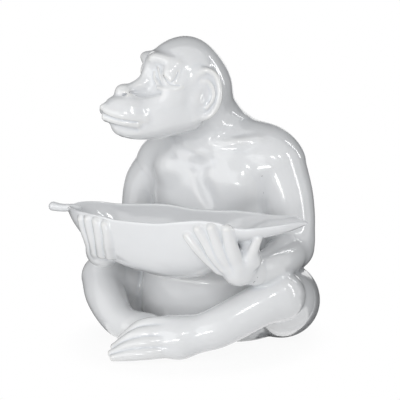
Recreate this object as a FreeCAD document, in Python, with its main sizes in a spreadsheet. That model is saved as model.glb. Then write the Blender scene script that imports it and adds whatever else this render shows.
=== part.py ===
import FreeCAD, Part
import os
import re

import Sketcher

# A glazed figurine of a seated ape that holds a long leaf-shaped dish on its lap.
# It is cast in sections, luted together and fired as one piece, so nothing moves.
# The figure faces -Y, its left side is +X, and it stands on the floor at Z = 0.
# Each size is in millimetres, each angle in degrees.

SIZES = [
    # castings
    ("wall", 6, "wall of the hollow sections"),
    ("vent_bore", 12, "vent in the base, for the air of the firing"),
    ("vent_back", 40, "vent behind the middle of the base"),
    # rings of the torso: rise from the ring below, width, and reach to the front and the back
    ("base_width", 150, "ring on the floor"), ("base_front", 56, ""), ("base_back", 72, ""),
    ("seat_rise", 32, "ring of the hips"), ("seat_width", 192, ""), ("seat_front", 84, ""),
    ("seat_back", 90, ""),
    ("belly_rise", 48, "ring of the belly"), ("belly_width", 178, ""), ("belly_front", 90, ""),
    ("belly_back", 86, ""),
    ("lap_rise", 28, "ring over the belly"), ("lap_width", 166, ""), ("lap_front", 70, ""),
    ("lap_back", 74, ""),
    ("waist_rise", 32, "narrowest ring"), ("waist_width", 160, ""), ("waist_front", 50, ""),
    ("waist_back", 65, ""),
    ("chest_rise", 50, "ring under the armpits"), ("chest_width", 170, ""), ("chest_front", 54, ""),
    ("chest_back", 72, ""),
    ("yoke_rise", 38, "ring through the shoulders"), ("yoke_width", 186, ""), ("yoke_front", 47, ""),
    ("yoke_back", 76, ""),
    ("collar_rise", 28, "ring over the shoulders"), ("collar_width", 150, ""), ("collar_front", 32, ""),
    ("collar_back", 67, ""),
    ("nape_rise", 14, "top ring, inside the neck"), ("nape_width", 100, ""), ("nape_front", 18, ""),
    ("nape_back", 46, ""),
    # neck
    ("neck_top_radius", 42, ""), ("neck_root_radius", 53, ""), ("neck_root_drop", 16, "under the collar"),
    ("neck_root_back", 8, "behind the middle"), ("neck_top_side", 5, "beside the skull's middle"),
    ("neck_top_back", 20, "behind the skull's middle"), ("neck_top_drop", 15, "under the skull's middle"),
    # head: places are measured from one point in it, and widths are from side to side
    ("skull_rise", 45, "that point over the nape ring"), ("skull_side", 15, "to the right of the middle"),
    ("skull_forward", 50, "before the middle"), ("head_turn", 35, "turned to its right"),
    ("skull_width", 90, ""), ("skull_length", 98, ""), ("skull_height", 102, ""),
    ("skull_back", 6, ""), ("skull_lift", 7, "skull and face over that point"),
    ("face_width", 80, ""), ("face_length", 66, ""), ("face_height", 80, ""), ("face_forward", 20, ""),
    ("ridge_width", 70, "long ridge under both brows"), ("ridge_length", 44, ""), ("ridge_height", 28, ""),
    ("ridge_forward", 31, ""), ("ridge_rise", 28, ""),
    ("brow_width", 38, "one brow"), ("brow_length", 20, ""), ("brow_height", 15, ""),
    ("brow_side", 18, ""), ("brow_forward", 42, ""), ("brow_rise", 29, ""),
    ("cheek_width", 44, "one cheek"), ("cheek_length", 66, ""), ("cheek_height", 50, ""),
    ("cheek_side", 20, ""), ("cheek_forward", 31, ""), ("cheek_drop", 15, ""),
    ("eye_radius", 10, ""), ("eye_side", 18, ""), ("eye_forward", 36, ""), ("eye_rise", 12, ""),
    ("socket_width", 24, "hollow around the eye"), ("socket_length", 18, ""), ("socket_height", 22, ""),
    ("socket_side", 19, ""), ("socket_forward", 50, ""), ("socket_rise", 13, ""),
    ("muzzle_width", 60, ""), ("muzzle_length", 88, ""), ("muzzle_height", 46, ""),
    ("muzzle_forward", 57, ""), ("muzzle_drop", 33, ""),
    ("snout_width", 48, "front of the muzzle"), ("snout_length", 54, ""), ("snout_height", 36, ""),
    ("snout_forward", 85, ""), ("snout_drop", 28, ""),
    ("nose_root_width", 24, "between the eyes"), ("nose_root_length", 34, ""), ("nose_root_height", 44, ""),
    ("nose_root_forward", 42, ""), ("nose_root_rise", 14, ""),
    ("bridge_width", 28, ""), ("bridge_length", 66, ""), ("bridge_height", 28, ""),
    ("bridge_forward", 63, ""), ("bridge_drop", 9, ""), ("bridge_slope", 10, "falls to the nose"),
    ("nose_width", 30, ""), ("nose_length", 26, ""), ("nose_height", 18, ""),
    ("nose_forward", 80, ""), ("nose_drop", 9, ""),
    ("chin_width", 50, ""), ("chin_length", 84, ""), ("chin_height", 36, ""),
    ("chin_forward", 55, ""), ("chin_drop", 46, ""),
    ("jaw_width", 82, ""), ("jaw_length", 88, ""), ("jaw_height", 56, ""),
    ("jaw_forward", 16, ""), ("jaw_drop", 37, ""),
    # ears
    ("ear_thickness", 12, ""), ("ear_width", 38, ""), ("ear_height", 64, ""),
    ("ear_out", 3, "from the side of the skull"), ("ear_back", 8, ""), ("ear_drop", 8, ""),
    ("ear_turn", 18, "face of the ear, turned to the front"),
    ("concha_width", 20, "hollow in the face of the ear"), ("concha_height", 34, ""), ("concha_depth", 5, ""),
    ("concha_forward", 4, ""), ("concha_drop", 4, ""),
    # arms
    ("shoulder_radius", 36, ""), ("shoulder_inset", 12, "inside the yoke ring"),
    ("shoulder_drop", 21, "under the yoke ring"), ("shoulder_back", 4, "behind the middle"),
    ("elbow_radius", 27, ""), ("elbow_side", 105, ""), ("elbow_height", 116, ""), ("elbow_back", 2, ""),
    ("arm_swell", 260, "radius of the arm's long outline"),
    ("forearm_radius", 26, "at the elbow"), ("wrist_radius", 16, ""),
    ("wrist_out", 9, "outside the palm"), ("wrist_back", 23, "behind the palm"),
    ("wrist_drop", 4, "under the palm"),
    # hands: places are measured from the middle and the rim of the dish
    ("palm_radius", 20.5, "at the knuckles"), ("palm_heel_radius", 18.5, "at the wrist"),
    ("palm_length", 14, ""), ("palm_rise", 5, "from its heel to its knuckles"),
    ("palm_forward", 12, "before the middle of the dish"),
    ("left_palm_side", 77, ""), ("left_palm_drop", 58, ""),
    ("right_palm_side", 105, ""), ("right_palm_drop", 52, ""),
    ("finger_root_radius", 8, ""), ("finger_tip_radius", 5.5, ""),
    ("finger_root_reach", 19, "before the palm"), ("finger_tip_sink", 4, "into the dish's wall"),
    ("finger_tip_lean", 1.5, "each next tip's further way in"),
    ("left_root_in", 12, "little finger's root, inside the palm"), ("left_root_pitch", 6.7, "root to root"),
    ("left_tip_in", 42, "little finger's tip, inside the palm"), ("left_tip_pitch", 16.5, "tip to tip"),
    ("right_root_in", 18, ""), ("right_root_pitch", 9.3, ""),
    ("right_tip_in", 30, ""), ("right_tip_pitch", 14, ""),
    ("little_tip_drop", 16, "little finger's tip under the rim"), ("tip_step", 4.5, "rise from tip to tip"),
    ("thumb_root_out", 15, "outside the palm"), ("thumb_tip_out", 29, ""), ("thumb_tip_rise", 40, ""),
    ("thumb_tip_radius", 5, ""),
    # legs
    ("hip_radius", 49, ""), ("hip_inset", 13, "inside the seat ring"), ("hip_back", 8, "behind the middle"),
    ("hip_sink", 2, "flat of the thigh, below its roundness"),
    ("knee_radius", 32, ""), ("knee_side", 121, ""), ("knee_forward", 63, ""), ("knee_height", 70, ""),
    ("thigh_swell", 240, "radius of the thigh's long outline"),
    ("shin_top_radius", 30, ""), ("ankle_radius", 21, ""), ("ankle_sink", 1, "flat, below its roundness"),
    ("shin_swell", 420, "radius of the shin's long outline"),
    ("left_ankle_side", 32, ""), ("left_ankle_forward", 131, ""),
    ("right_ankle_side", 52, ""), ("right_ankle_forward", 122, ""),
    # left foot, measured from its ankle
    ("instep_radius", 25, ""), ("instep_start", 8, "inside of the ankle"),
    ("instep_reach", 37, "inside of the ankle, too"), ("instep_forward", 17, ""), ("heel_forward", 4, ""),
    ("toe_root_radius", 8, ""), ("toe_tip_radius", 5.5, ""),
    ("toe_root_reach", 30, "inside of the ankle"), ("toe_tip_reach", 74, ""),
    ("toe_root_forward", 16, "top toe's root"), ("toe_root_pitch", 6.4, "root to root"),
    ("toe_root_height", 45, "top toe's root"), ("toe_root_fall", 10.6, "root to root"),
    ("toe_tip_forward", 29, "top toe's tip"), ("toe_tip_pitch", 8.2, "tip to tip"),
    ("toe_tip_height", 25, "top toe's tip"), ("toe_tip_fall", 6.2, "tip to tip"),
    # right foot, tucked in under the left shin
    ("tucked_heel_radius", 20, ""), ("tucked_ball_radius", 18, ""),
    ("tucked_start", 12, "inside of the ankle"), ("tucked_reach", 58, "inside of the ankle, too"),
    ("tucked_heel_back", 5, "behind the ankle"), ("tucked_back", 15, "behind the ankle"),
    ("tucked_toe_start", 6, "beyond the ball"), ("tucked_toe_length", 22, ""),
    ("tucked_root_height", 10, ""), ("tucked_tip_height", 6.5, ""),
    ("tucked_root_pitch", 8, "root to root"), ("tucked_tip_pitch", 9.6, "tip to tip"),
    # dish
    ("dish_side", 12, "middle of the dish, to the left"), ("dish_forward", 107, "before the middle"),
    ("rim_height", 166, "over the floor"), ("dish_length", 317, ""), ("dish_width", 110, ""),
    ("dish_depth", 74, ""), ("dish_wall", 4.5, ""), ("rim_wave", 5, "greatest rise of the wavy rim"),
    ("tip_land", 10, "solid length at each tip of the leaf"),
    ("tip_hollow", 3, "half width of the hollow there"),
    ("stalk_radius", 5.5, "at its end"), ("stalk_root_radius", 5, ""),
    ("stalk_root_drop", 3, "under the rim"),
    ("stalk_length", 24, "beyond the leaf's tip"), ("stalk_root", 9, "inside the tip"),
    ("stalk_droop", 3, ""),
]
NAMES = {name for name, value, note in SIZES}

RINGS = ["base", "seat", "belly", "lap", "waist", "chest", "yoke", "collar", "nape"]

# The leaf from its stalk end to its point: place along the length, half width and depth
# as shares of the greatest, and the rise of the near and the far rim as shares of rim_wave.
LEAF = [
    (0.000, 0.05, 0.05, 0.0, 0.0),
    (0.075, 0.54, 0.40, 0.2, -0.3),
    (0.190, 0.88, 0.81, 0.1, -0.2),
    (0.330, 0.98, 0.95, -0.5, 0.2),
    (0.475, 1.00, 1.00, -0.3, -0.4),
    (0.610, 0.965, 0.92, 0.8, 0.1),
    (0.700, 0.90, 0.58, 1.0, 0.2),
    (0.770, 0.82, 0.32, 0.1, 0.2),
    (0.865, 0.60, 0.22, 0.1, 0.7),
    (0.945, 0.33, 0.14, 0.9, 1.0),
    (1.000, 0.05, 0.05, 1.0, 1.0),
]

# Control points of half an ellipse as one smooth curve, true to a two-thousandth of its radius:
# across as shares of the half width, and down as shares of the depth.
ACROSS = [-1, -1, 0, 1, 1]
DOWN = [0, 0.87, 1.5067, 0.87, 0]
HEADROOM = 3    # how far the hollow of the dish runs on above its rim
DEEP = 80       # depth of the block that is cut away under the floor
PART_SPAN = 600  # and its length and width

doc = FreeCAD.newDocument("figurine")
sheet = doc.addObject("Spreadsheet::Sheet", "sizes")


def fill_sheet():
    """One row for each size: its name, its value and a note."""
    for row, (name, value, note) in enumerate(SIZES, 1):
        sheet.set("A%d" % row, name)
        sheet.set("B%d" % row, str(value))
        sheet.set("C%d" % row, note)
        sheet.setAlias("B%d" % row, name)
    doc.recompute()


def bound(text):
    """The same formula with each size's name pointing at its cell."""
    return re.sub(r"[a-z_]+", lambda m: "sizes." + m.group() if m.group() in NAMES else m.group(), text)


def bind(item, field, text):
    item.setExpression(field, bound(text))


def point(x, y, z):
    return "vector(%s; %s; %s)" % (x, y, z)


def between(start, end):
    """Placement whose Z axis runs from one point to the other."""
    way = "(%s - %s)" % (point(*end), point(*start))
    up = "vector(0; 0; 1)"
    return "placement(%s; rotation(vcross(%s; %s); vangle(%s; %s)))" % (point(*start), up, way, up, way)


def distance(start, end):
    steps = ["((%s) - (%s))^2" % (b, a) for a, b in zip(start, end)]
    return "sqrt(%s)" % " + ".join(steps)


def value_of(text):
    """The formula's number now, as a start for the sketch solver."""
    return float(sheet.evalExpression(bound(text)))


def origin_plane(body, role):
    return next(item for item in body.Origin.OriginFeatures if item.Role == role)


def new_sketch(body, name, role, offset=None):
    """A sketch on one of the body's own planes, moved along the plane's normal."""
    sketch = body.newObject("Sketcher::SketchObject", name)
    sketch.AttachmentSupport = (origin_plane(body, role), [""])
    sketch.MapMode = "FlatFace"
    if offset is not None:
        bind(sketch, "AttachmentOffset.Base.z", offset)
    return sketch


# ------------------------------------------------------------------ limbs, fingers and toes

def limb(name, start, end, start_radius, end_radius, swell=None, less="0"):
    """A round bar between two points, turned from a ball, a long outline and a second ball.

    swell is the radius of the long outline, straight if None; less makes the bar smaller all round.
    """
    body = doc.addObject("PartDesign::Body", name)
    sketch = new_sketch(body, name + "_outline", "XZ_Plane")
    length = distance(start, end)
    near, far = "%s - %s" % (start_radius, less), "%s - %s" % (end_radius, less)
    reach, low, high = value_of(length), value_of(near), value_of(far)
    flat = FreeCAD.Vector
    bottom, top = flat(0, -low, 0), flat(0, reach + high, 0)
    if swell is None:
        slope = (low - high) / reach
        out = (1 - slope * slope) ** 0.5
        first, last = flat(low * out, low * slope, 0), flat(high * out, reach + high * slope, 0)
        side = Part.LineSegment(first, last)
    else:
        bow = value_of("%s - %s" % (swell, less))
        lead, trail = bow - low, bow - high
        rise = (lead ** 2 - trail ** 2 + reach ** 2) / (2 * reach)
        aside = -(lead ** 2 - rise ** 2) ** 0.5
        first = flat(0 - aside * low / lead, 0 - rise * low / lead, 0)
        last = flat(0 - aside * high / trail, reach + (reach - rise) * high / trail, 0)
        middle = flat(aside + bow, rise, 0)
        side = Part.Arc(first, middle, last)
    turn = 2 ** -0.5
    halfway = flat(first.x / 2, -(low ** 2 - first.x ** 2 / 4) ** 0.5, 0)
    start_ball = Part.Arc(bottom, halfway, first)
    end_ball = Part.Arc(last, flat(high * turn, reach + high * turn, 0), top)
    sketch.addGeometry([start_ball, side, end_ball, Part.LineSegment(top, bottom)], False)
    rule = Sketcher.Constraint
    sketch.addConstraint([
        rule("Coincident", 0, 3, -1, 1), rule("PointOnObject", 2, 3, -2),
        rule("PointOnObject", 3, 1, -2), rule("PointOnObject", 3, 2, -2),
        rule("Coincident", 3, 2, 0, 1), rule("Coincident", 2, 2, 3, 1),
        rule("Tangent", 0, 2, 1, 1), rule("Tangent", 1, 2, 2, 1)])
    sizes = [("DistanceY", (3, 2, -1, 1, low), near),
             ("DistanceY", (-1, 1, 2, 3, reach), length),
             ("DistanceY", (2, 3, 3, 1, high), far)]
    if swell is not None:
        sizes.append(("Radius", (1, bow), "%s - %s" % (swell, less)))
    for kind, args, text in sizes:
        number = sketch.addConstraint(rule(kind, *args))
        bind(sketch, "Constraints[%d]" % number, text)
    turned = body.newObject("PartDesign::Revolution", name + "_turned")
    turned.Profile = sketch
    turned.ReferenceAxis = (sketch, ["V_Axis"])
    turned.Angle = 360
    bind(body, "Placement", between(start, end))
    return body


# ------------------------------------------------------------------ lofted sections

def half_round(width, reach, level):
    """Control points of half an ellipse: across, then down by reach from the level."""
    return [("%s * (%s)" % (a, width), "%s - %s * (%s)" % (level, d, reach))
            for a, d in zip(ACROSS, DOWN)]


def add_curve(sketch, poles):
    """A spline in the sketch whose control points are bound to formulas."""
    spots = [FreeCAD.Vector(value_of(x), value_of(y), 0) for x, y in poles]
    curve = Part.BSplineCurve()
    curve.buildFromPolesMultsKnots(spots, [5, 5], [0, 1], False, 4)
    index = sketch.addGeometry(curve, False)
    known = len(sketch.Geometry)
    sketch.exposeInternalGeometry(index)
    handles = [i for i in range(known, len(sketch.Geometry))
               if type(sketch.Geometry[i]).__name__ == "Circle"]
    for handle, spot, (x, y) in zip(handles, spots, poles):
        for kind, now, text in (("DistanceX", spot.x, x), ("DistanceY", spot.y, y)):
            number = sketch.addConstraint(Sketcher.Constraint(kind, -1, 1, handle, 3, now))
            bind(sketch, "Constraints[%d]" % number, text)
    return index


def loft(body, sections, name, kind="PartDesign::AdditiveLoft"):
    skin = body.newObject(kind, name)
    skin.Profile = sections[0]
    skin.Sections = [(section, [""]) for section in sections[1:]]
    return skin


# ------------------------------------------------------------------ torso

def ring_height(ring):
    """Height of a ring of the torso: the sum of the rises up to it."""
    rises = [name + "_rise" for name in RINGS[1:RINGS.index(ring) + 1]]
    return "(%s)" % " + ".join(rises or ["0"])


def torso_shape(name, less):
    """A loft through the rings; less makes every ring smaller and the ends lower."""
    body = doc.addObject("PartDesign::Body", name)
    sections = []
    for ring in RINGS:
        level = ring_height(ring)
        if ring == RINGS[0]:
            level = less
        if ring == RINGS[-1]:
            level = "%s - %s" % (level, less)
        sketch = new_sketch(body, name + "_" + ring, "XY_Plane", level)
        half = "%s_width / 2 - %s" % (ring, less)
        front = half_round(half, "%s_front - %s" % (ring, less), "0")
        back = [("-1 * (%s)" % x, "-1 * (%s)" % y) for x, y in
                half_round(half, "%s_back - %s" % (ring, less), "0")]
        add_curve(sketch, front)
        add_curve(sketch, back)
        sections.append(sketch)
    loft(body, sections, name + "_skin")
    return body


# ------------------------------------------------------------------ dish

def dish_shape(name, less, headroom, hollow):
    """A loft through the leaf's D sections, or the smaller one that hollows it."""
    body = doc.addObject("PartDesign::Body", name)
    sections = []
    for number, (place, width, depth, near, far) in enumerate(LEAF):
        along = "%s * dish_length" % place
        half = "%s * dish_width / 2 - %s" % (width, less)
        deep = "%s * dish_depth - %s + %s" % (depth, less, headroom)
        if hollow and number in (0, len(LEAF) - 1):
            along += " + tip_land" if number == 0 else " - tip_land"
            half, deep = "tip_hollow", "tip_hollow + %s" % headroom
        sketch = new_sketch(body, "%s_%d" % (name, number), "YZ_Plane", along)
        middle = "(%s) * rim_wave / 2 + %s" % (near + far, headroom)
        tilt = "(%s) * rim_wave / 2" % (far - near)
        poles = [(x, "%s + (%s) * (%s)" % (y, tilt, lean)) for (x, y), lean in
                 zip(half_round(half, deep, middle), ACROSS)]
        curve = add_curve(sketch, poles)
        ends = [FreeCAD.Vector(value_of(x), value_of(y), 0) for x, y in (poles[-1], poles[0])]
        rim = sketch.addGeometry(Part.LineSegment(*ends), False)
        sketch.addConstraint([Sketcher.Constraint("Coincident", curve, 2, rim, 1),
                              Sketcher.Constraint("Coincident", rim, 2, curve, 1)])
        sections.append(sketch)
    loft(body, sections, name + "_skin")
    bind(body, "Placement", "placement(%s; rotation(0; 0; 0))"
         % point("dish_side - dish_length / 2", "-dish_forward", "rim_height"))
    return body


# ------------------------------------------------------------------ ball forms

def egg(body, name, centre, widths, slope=None, cut=False):
    """An ellipsoid feature of the body: its centre, then its width, length and height."""
    kind = "PartDesign::SubtractiveEllipsoid" if cut else "PartDesign::AdditiveEllipsoid"
    item = body.newObject(kind, name)
    item.Angle1, item.Angle2, item.Angle3 = -90, 90, 360
    for field, width in zip(("Radius2", "Radius3", "Radius1"), widths):
        bind(item, field, "(%s) / 2" % width)
    turn = "rotation(vector(1; 0; 0); %s)" % (slope or "0")
    bind(item, "Placement", "placement(%s; %s)" % (point(*centre), turn))
    return item


def fused(name, pieces):
    item = doc.addObject("Part::MultiFuse", name)
    item.Shapes = pieces
    return item


def cut_by(name, base, tools):
    """The piece with every neighbour that it is seated on taken out of it."""
    for number, tool in enumerate(tools, 1):
        item = doc.addObject("Part::Cut", "%s_%d" % (name, number))
        item.Base = base
        item.Tool = tool
        base = item
    base.Label = name
    return base


# ------------------------------------------------------------------ places of the joints

def mirrored(spot):
    return ("-(%s)" % spot[0], spot[1], spot[2])


SKULL = ("-skull_side", "-skull_forward", ring_height("nape") + " + skull_rise")
NECK_TOP = ("neck_top_side - skull_side", "neck_top_back - skull_forward", SKULL[2] + " - neck_top_drop")
NECK_ROOT = ("0", "neck_root_back", ring_height("collar") + " - neck_root_drop")
SHOULDER = ("yoke_width / 2 - shoulder_inset", "shoulder_back", ring_height("yoke") + " - shoulder_drop")
ELBOW = ("elbow_side", "elbow_back", "elbow_height")
HIP = ("seat_width / 2 - hip_inset", "hip_back", "hip_radius - hip_sink")
KNEE = ("knee_side", "-knee_forward", "knee_height")
LEFT_ANKLE = ("left_ankle_side", "-left_ankle_forward", "ankle_radius - ankle_sink")
RIGHT_ANKLE = ("-right_ankle_side", "-right_ankle_forward", "ankle_radius - ankle_sink")


def palm_spot(side):
    sign = "+" if side == "left" else "-"
    return ("dish_side %s %s_palm_side" % (sign, side), "-dish_forward - palm_forward",
            "rim_height - %s_palm_drop" % side)


def wrist_spot(side):
    x, y, z = palm_spot(side)
    sign = "+" if side == "left" else "-"
    return ("%s %s wrist_out" % (x, sign), y + " + wrist_back", z + " - wrist_drop")


def hand(side):
    """A palm with four fingers that climb the dish's wall, and a thumb at its end."""
    x, y, z = palm_spot(side)
    sign, other = ("+", "-") if side == "left" else ("-", "+")
    heel = (x, y + " + palm_length / 2", z + " - palm_rise / 2")
    knuckles = (x, y + " - palm_length / 2", z + " + palm_rise / 2")
    pieces = [limb(side + "_palm", heel, knuckles, "palm_heel_radius", "palm_radius")]
    for number in range(4):
        root = ("%s %s %s_root_in %s %d * %s_root_pitch" % (x, other, side, sign, number, side),
                y + " - finger_root_reach", z)
        tip = ("%s %s %s_tip_in %s %d * %s_tip_pitch" % (x, other, side, sign, number, side),
               "-dish_forward - dish_width / 2 + finger_tip_sink + %d * finger_tip_lean" % number,
               "rim_height - little_tip_drop + %d * tip_step" % number)
        pieces.append(limb("%s_finger_%d" % (side, number + 1), root, tip,
                           "finger_root_radius", "finger_tip_radius"))
    root = ("%s %s thumb_root_out" % (x, sign), y, z)
    tip = ("%s %s thumb_tip_out" % (x, sign), y, z + " + thumb_tip_rise")
    pieces.append(limb(side + "_thumb", root, tip, "finger_root_radius", "thumb_tip_radius"))
    return fused(side + "_whole_hand", pieces)


def left_foot():
    """An instep from the ankle to the four long toes, which lie one over the other."""
    x, y, z = LEFT_ANKLE
    heel = (x + " - instep_start", y + " - heel_forward", "instep_radius")
    ball = (x + " - instep_reach", y + " - instep_forward", "instep_radius")
    pieces = [limb("left_instep", heel, ball, "instep_radius", "instep_radius")]
    for number in range(4):
        root = (x + " - toe_root_reach", "%s - toe_root_forward - %d * toe_root_pitch" % (y, number),
                "toe_root_height - %d * toe_root_fall" % number)
        tip = (x + " - toe_tip_reach", "%s - toe_tip_forward - %d * toe_tip_pitch" % (y, number),
               "toe_tip_height - %d * toe_tip_fall" % number)
        pieces.append(limb("left_toe_%d" % (number + 1), root, tip, "toe_root_radius", "toe_tip_radius"))
    return fused("left_whole_foot", pieces)


def right_foot():
    """The foot that is tucked in under the other shin, with its toes to the left."""
    x, y, z = RIGHT_ANKLE
    heel = (x + " + tucked_start", y + " + tucked_heel_back", "tucked_heel_radius - ankle_sink")
    ball = (x + " + tucked_reach", y + " + tucked_back", "tucked_ball_radius - ankle_sink")
    pieces = [limb("right_instep", heel, ball, "tucked_heel_radius", "tucked_ball_radius")]
    for number in range(4):
        steps = number - 1.5
        root = (ball[0] + " + tucked_toe_start", "%s + (%s) * tucked_root_pitch" % (ball[1], steps),
                "tucked_root_height")
        tip = (root[0] + " + tucked_toe_length", "%s + (%s) * tucked_tip_pitch" % (ball[1], steps),
               "tucked_tip_height")
        pieces.append(limb("right_toe_%d" % (number + 1), root, tip, "toe_root_radius", "toe_tip_radius"))
    return fused("right_whole_foot", pieces)


def head_placement():
    return "placement(%s; rotation(-head_turn; 0; 0))" % point(*SKULL)


def widths(form):
    return tuple("%s_%s" % (form, way) for way in ("width", "length", "height"))


def head():
    """The skull and face first, then the muzzle, the brows and the eyes in their sockets."""
    body = doc.addObject("PartDesign::Body", "whole_head")
    egg(body, "skull", ("0", "skull_back", "skull_lift"), widths("skull"))
    egg(body, "face", ("0", "-face_forward", "skull_lift"), widths("face"))
    egg(body, "ridge", ("0", "-ridge_forward", "ridge_rise"), widths("ridge"))
    egg(body, "jaw", ("0", "-jaw_forward", "-jaw_drop"), widths("jaw"))
    egg(body, "muzzle", ("0", "-muzzle_forward", "-muzzle_drop"), widths("muzzle"))
    egg(body, "snout", ("0", "-snout_forward", "-snout_drop"), widths("snout"))
    egg(body, "bridge", ("0", "-bridge_forward", "-bridge_drop"), widths("bridge"), slope="bridge_slope")
    egg(body, "nose", ("0", "-nose_forward", "-nose_drop"), widths("nose"))
    egg(body, "chin", ("0", "-chin_forward", "-chin_drop"), widths("chin"))
    for side in (-1, 1):
        for form, rise in (("brow", "brow_rise"), ("cheek", "-cheek_drop")):
            egg(body, form, ("%d * %s_side" % (side, form), "-%s_forward" % form, rise), widths(form))
    for side in (-1, 1):
        egg(body, "socket", ("%d * socket_side" % side, "-socket_forward", "socket_rise"),
            widths("socket"), cut=True)
        egg(body, "eye", ("%d * eye_side" % side, "-eye_forward", "eye_rise"), ("2 * eye_radius",) * 3)
    egg(body, "nose_root", ("0", "-nose_root_forward", "nose_root_rise"), widths("nose_root"))
    bind(body, "Placement", head_placement())
    return body


def head_core():
    body = doc.addObject("PartDesign::Body", "head_core")
    egg(body, "skull_hollow", ("0", "skull_back", "skull_lift"),
        [way + " - 2 * wall" for way in widths("skull")])
    bind(body, "Placement", head_placement())
    return body


def ear(side):
    """A flat shell whose back edge stands off the skull, with a hollow in its outer face."""
    sign = 1 if side == "left" else -1
    body = doc.addObject("PartDesign::Body", side + "_whole_ear")
    egg(body, "shell", ("0", "0", "0"), ("ear_thickness", "ear_width", "ear_height"))
    egg(body, "concha", ("%d * ear_thickness / 2" % sign, "-concha_forward", "-concha_drop"),
        ("2 * concha_depth", "concha_width", "concha_height"), cut=True)
    spot = point("%d * (skull_width / 2 + ear_out)" % sign, "ear_back", "-ear_drop")
    bind(body, "Placement", "%s * placement(%s; rotation(%d * ear_turn; 0; 0))"
         % (head_placement(), spot, -sign))
    return body


def hollow_limb(name, start, end, start_radius, end_radius, swell):
    """The outer bar, and the core that leaves the wall."""
    whole = limb("whole_" + name, start, end, start_radius, end_radius, swell)
    core = limb("core_of_" + name, start, end, start_radius, end_radius, swell, "wall")
    return whole, core


def floor_block():
    block = doc.addObject("Part::Box", "under_floor")
    block.Length = block.Width = PART_SPAN
    block.Height = DEEP
    block.Placement.Base = FreeCAD.Vector(-PART_SPAN / 2, -PART_SPAN / 2, -DEEP)
    return block


def vent():
    bore = doc.addObject("Part::Cylinder", "vent")
    bind(bore, "Radius", "vent_bore / 2")
    bind(bore, "Height", "4 * wall")
    bind(bore, "Placement", "placement(%s; rotation(0; 0; 0))" % point("0", "vent_back", "-2 * wall"))
    return bore


def trunk():
    """Torso, neck, head and the leaf with its stalk, and the whole torso, head and dish."""
    torso, torso_core = torso_shape("whole_torso", "0"), torso_shape("core_of_torso", "wall")
    neck, neck_core = hollow_limb("neck", NECK_TOP, NECK_ROOT, "neck_top_radius", "neck_root_radius", None)
    skull = head()
    dish = dish_shape("whole_dish", "0", "0", False)
    dish_core = dish_shape("core_of_dish", "dish_wall", str(HEADROOM), True)
    leaf_tip = "dish_side - dish_length / 2"
    root = (leaf_tip + " + stalk_root", "-dish_forward", "rim_height - stalk_root_drop")
    end = (leaf_tip + " - stalk_length", "-dish_forward", "rim_height - stalk_droop")
    stalk = limb("whole_stalk", root, end, "stalk_root_radius", "stalk_radius")
    nodes = [cut_by("torso", torso, [torso_core, vent(), dish]),
             cut_by("neck", neck, [neck_core, torso, skull]),
             cut_by("head", skull, [head_core()]),
             cut_by("leaf_dish", dish, [dish_core]),
             cut_by("leaf_stalk", stalk, [dish])]
    return nodes, torso, skull, dish


def side_limbs(side):
    """Whole arm, thigh and shin of one side with their cores, and the whole forearm."""
    shoulder, elbow, hip, knee = [spot if side == "left" else mirrored(spot)
                                  for spot in (SHOULDER, ELBOW, HIP, KNEE)]
    ankle = LEFT_ANKLE if side == "left" else RIGHT_ANKLE
    arm = hollow_limb(side + "_upper_arm", shoulder, elbow, "shoulder_radius", "elbow_radius", "arm_swell")
    thigh = hollow_limb(side + "_thigh", hip, knee, "hip_radius", "knee_radius", "thigh_swell")
    shin = hollow_limb(side + "_shin", knee, ankle, "shin_top_radius", "ankle_radius", "shin_swell")
    forearm = limb("whole_%s_forearm" % side, elbow, wrist_spot(side), "forearm_radius", "wrist_radius")
    return arm, thigh, shin, forearm


def build():
    """Every section, each cut where it is seated on its neighbours."""
    floor = floor_block()
    nodes, torso, skull, dish = trunk()
    shins, feet = {}, {"left": left_foot(), "right": right_foot()}
    for side in ("left", "right"):
        (arm, arm_core), (thigh, thigh_core), shins[side], forearm = side_limbs(side)
        shin = shins[side][0]
        nodes.append(cut_by(side + "_ear", ear(side), [skull]))
        nodes.append(cut_by(side + "_upper_arm", arm, [arm_core, torso]))
        nodes.append(cut_by(side + "_forearm", forearm, [arm, torso, thigh, shin]))
        nodes.append(cut_by(side + "_hand", hand(side), [forearm, dish, thigh, shin]))
        nodes.append(cut_by(side + "_thigh", thigh, [thigh_core, torso, floor]))
        shins[side] += (thigh,)
    left, left_core, left_thigh = shins["left"]
    right, right_core, right_thigh = shins["right"]
    seat = [torso, floor]
    nodes.append(cut_by("left_shin", left, [left_core, left_thigh] + seat))
    nodes.append(cut_by("right_shin", right, [right_core, right_thigh] + seat + [left, feet["left"]]))
    nodes.append(cut_by("left_foot", feet["left"], [left, floor]))
    nodes.append(cut_by("right_foot", feet["right"], [right, left, feet["left"]] + seat))
    return nodes


def check(nodes):
    """Stop before anything is written if a piece failed."""
    failed = [item.Name for item in doc.Objects if set(item.State) & {"Invalid", "Error"}]
    if failed:
        raise RuntimeError("these failed: %s" % failed)
    for node in nodes:
        if node.Shape.isNull() or not node.Shape.isValid():
            raise RuntimeError("no good shape: " + node.Label)


def write(nodes):
    os.makedirs("parts", exist_ok=True)
    for node in nodes:
        node.Shape.exportStep("parts/%s.step" % node.Label)
        print("%-16s %d solid  %8.1f cm3" % (node.Label, len(node.Shape.Solids), node.Shape.Volume / 1000))


fill_sheet()
parts = build()
doc.recompute()
check(parts)
write(parts)
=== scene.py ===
# %% [markdown]
# # A glazed ape that holds a leaf dish
#
# The real object is a slip-cast figurine under one thick white glaze. Its sections were cast in
# plaster moulds, luted together and fired as one, so no seam shows between chest, arm and hand.
# That is the main thing to get right: a row of separate round bodies would show a hard line
# wherever two of them meet.
#
# So the figure is described by a *distance field*: a function that tells, for any point in space,
# how far it is from the surface, negative inside. Two forms are joined by a soft minimum of their
# distances, and clay flows from one into the other. The leaf dish and its stalk have thin, exact
# walls, so they are made as plain two-parameter surfaces instead.

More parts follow.
